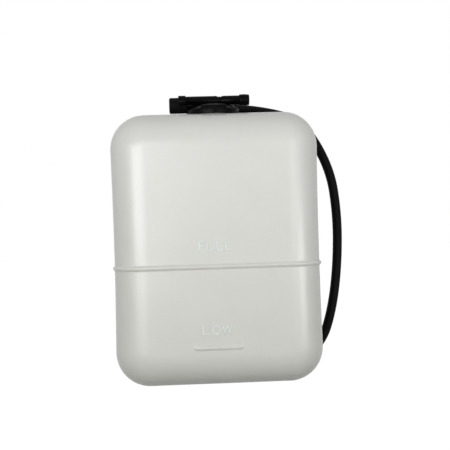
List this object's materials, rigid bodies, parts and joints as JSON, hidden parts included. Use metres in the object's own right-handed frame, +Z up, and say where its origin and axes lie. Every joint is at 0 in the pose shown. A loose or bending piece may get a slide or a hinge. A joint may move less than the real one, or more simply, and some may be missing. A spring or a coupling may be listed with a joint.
{
  "type": "car fluid reservoir",
  "caption": "Milky blow-moulded coolant overflow tank with raised level marks, a black push-in cap with a cross pipe, a dip tube and a black rubber hose.",
  "frame": {"origin": "middle of the base, on the surface that the tank stands on", "axes": "+X to the right seen from the front, +Y to the back, +Z up"},
  "size_m": [0.2212, 0.1094, 0.2656],
  "materials": {
    "tank_plastic": "milky natural polyethylene with a soft sheen",
    "cap_plastic": "black satin moulding",
    "black_rubber": "black extruded rubber",
    "dip_plastic": "natural polyethylene tube"
  },
  "bodies": {
    "tank": {"tank_body": "tank_plastic"},
    "cap": {"cap": "cap_plastic", "cap_seal": "black_rubber", "dip_tube": "dip_plastic", "blanking_cap": "black_rubber", "hose": "black_rubber"}
  },
  "joints": [
    {"name": "cap_lift", "type": "slide", "parent": "tank", "child": "cap", "axis": [0, 0, 1], "range_m": [0, 0.25]}
  ]
}
